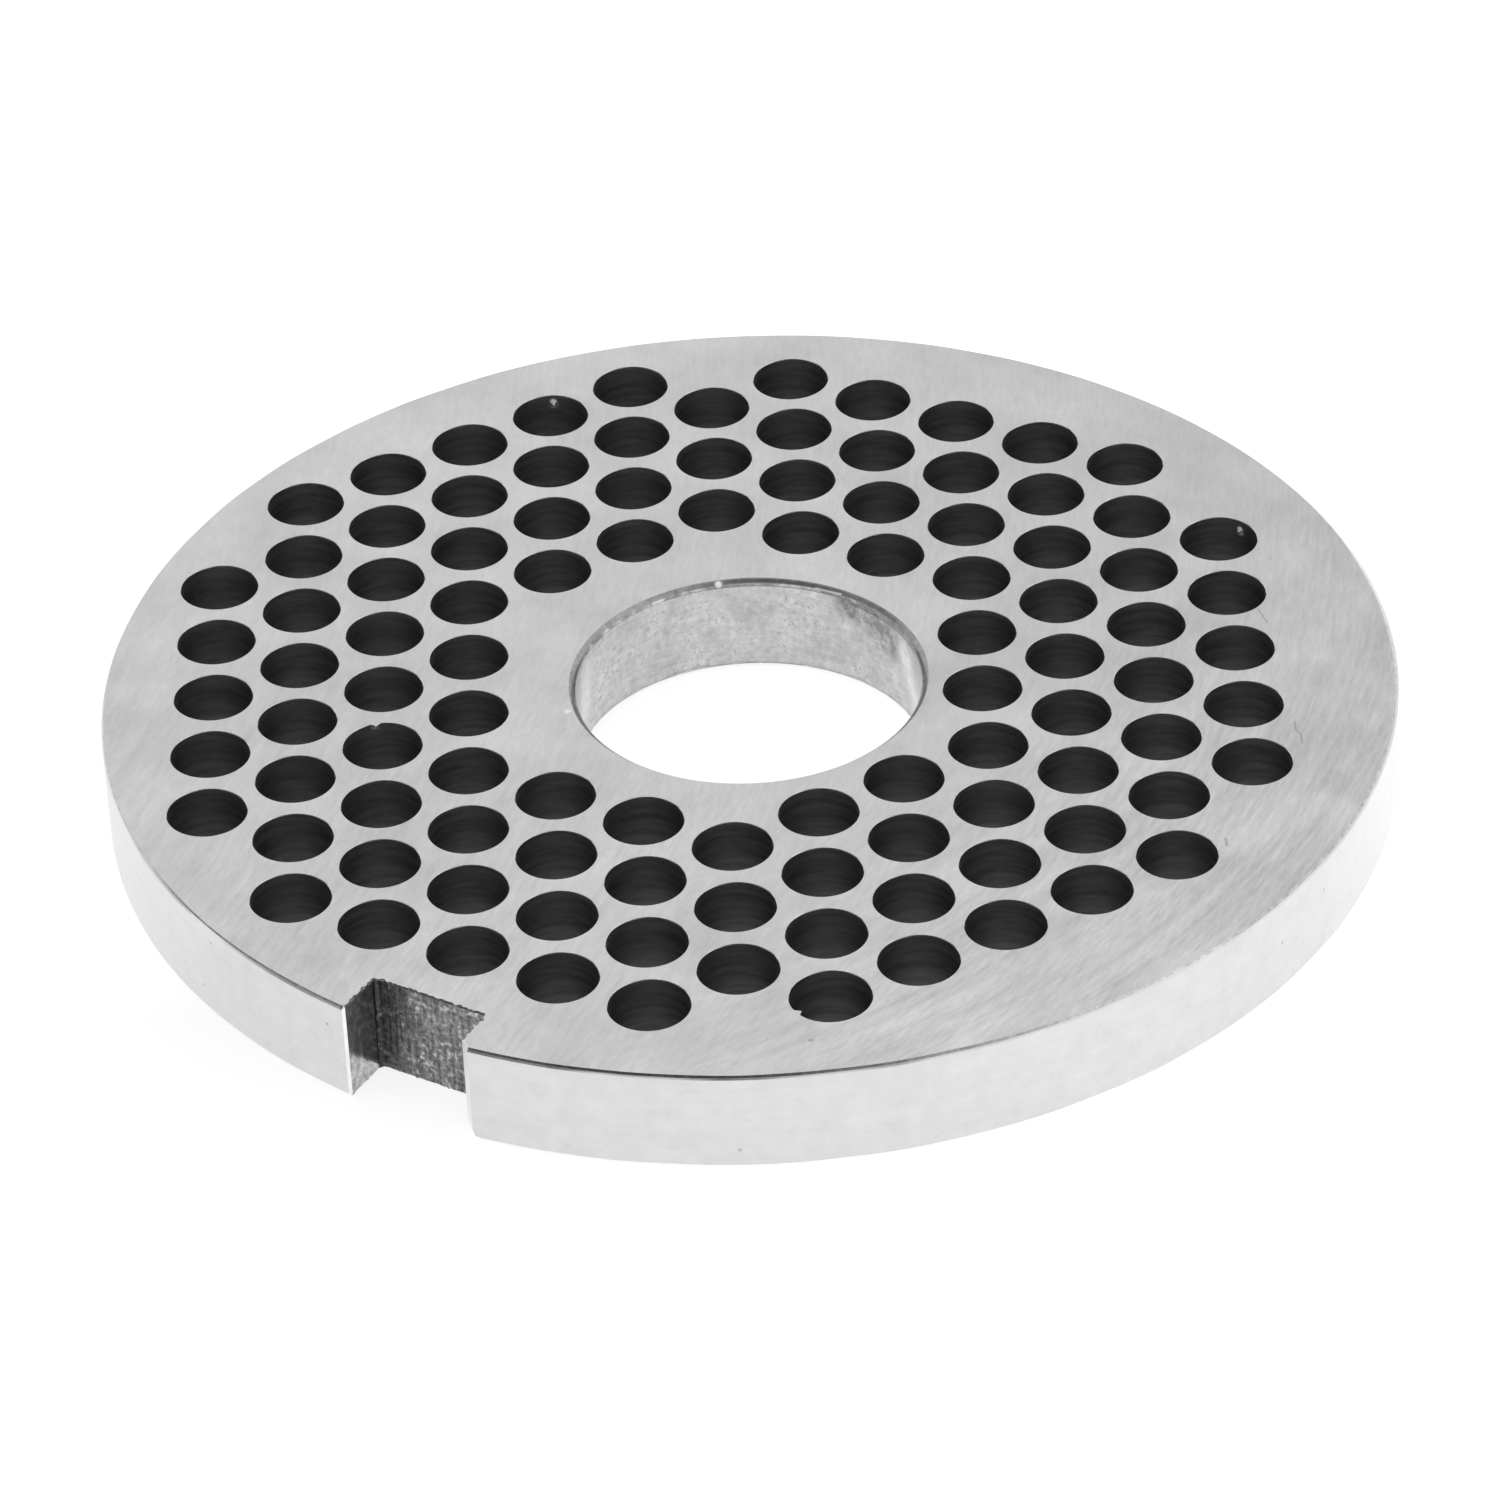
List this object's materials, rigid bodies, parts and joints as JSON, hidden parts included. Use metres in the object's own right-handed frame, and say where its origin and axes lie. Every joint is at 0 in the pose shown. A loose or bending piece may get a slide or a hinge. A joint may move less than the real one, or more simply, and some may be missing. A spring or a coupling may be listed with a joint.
{
  "type": "meat grinder plate",
  "caption": "Flat round perforated steel plate with a central bore and a key slot in its rim, which meat is pressed and cut through.",
  "frame": {"origin": "on the bore axis in the back face, which the plate rests on", "axes": "+Z along the bore axis, out of the cutting face; the key slot opens towards -Y"},
  "size_m": [0.082, 0.0818, 0.0067],
  "materials": {
    "plate_steel": "surface ground faces, turned rim and bore"
  },
  "bodies": {
    "root": {"grinder_plate": "plate_steel"}
  },
  "joints": []
}
